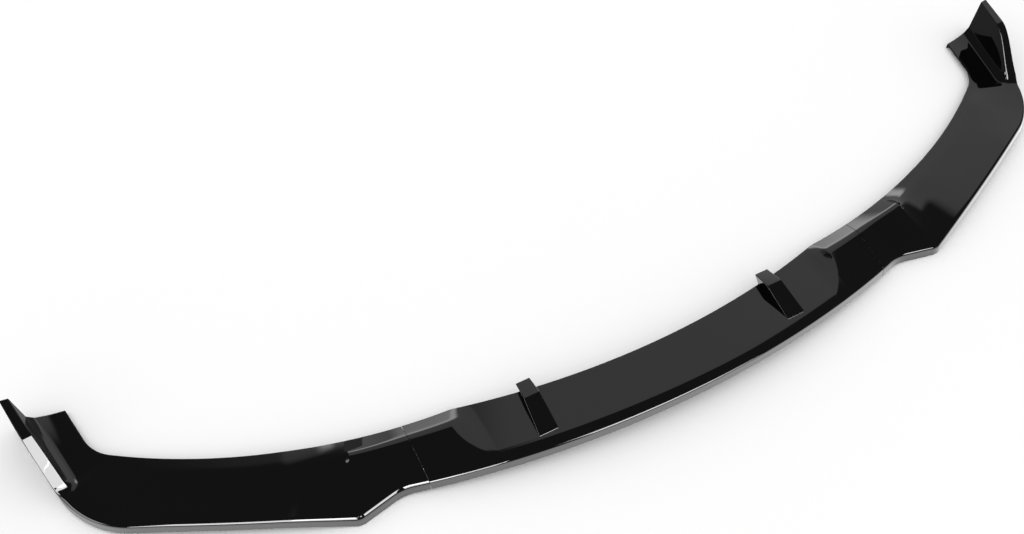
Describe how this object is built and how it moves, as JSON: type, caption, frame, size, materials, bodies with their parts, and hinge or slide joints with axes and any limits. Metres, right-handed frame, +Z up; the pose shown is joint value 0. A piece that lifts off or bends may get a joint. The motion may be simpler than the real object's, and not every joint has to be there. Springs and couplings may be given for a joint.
{
  "type": "front splitter lip",
  "caption": "Sectional gloss black front splitter lip with a scooped centre, crested sides, small fins and upturned winglet ends.",
  "frame": {"origin": "bottom centre of the part's box, as it lies on a flat surface", "axes": "+X across the car towards the right end, -Y towards the front edge, +Z up"},
  "size_m": [1.7794, 0.4226, 0.08],
  "materials": {
    "gloss_black_abs": "moulded, piano gloss black",
    "zinc_plated_steel": "bright zinc plate"
  },
  "bodies": {
    "root": {"centre_section": "gloss_black_abs", "left_section": "gloss_black_abs", "right_section": "gloss_black_abs", "left_joint_bolts": "zinc_plated_steel", "left_joint_washers": "zinc_plated_steel", "left_joint_nuts": "zinc_plated_steel", "right_joint_bolts": "zinc_plated_steel", "right_joint_washers": "zinc_plated_steel", "right_joint_nuts": "zinc_plated_steel"}
  },
  "joints": []
}
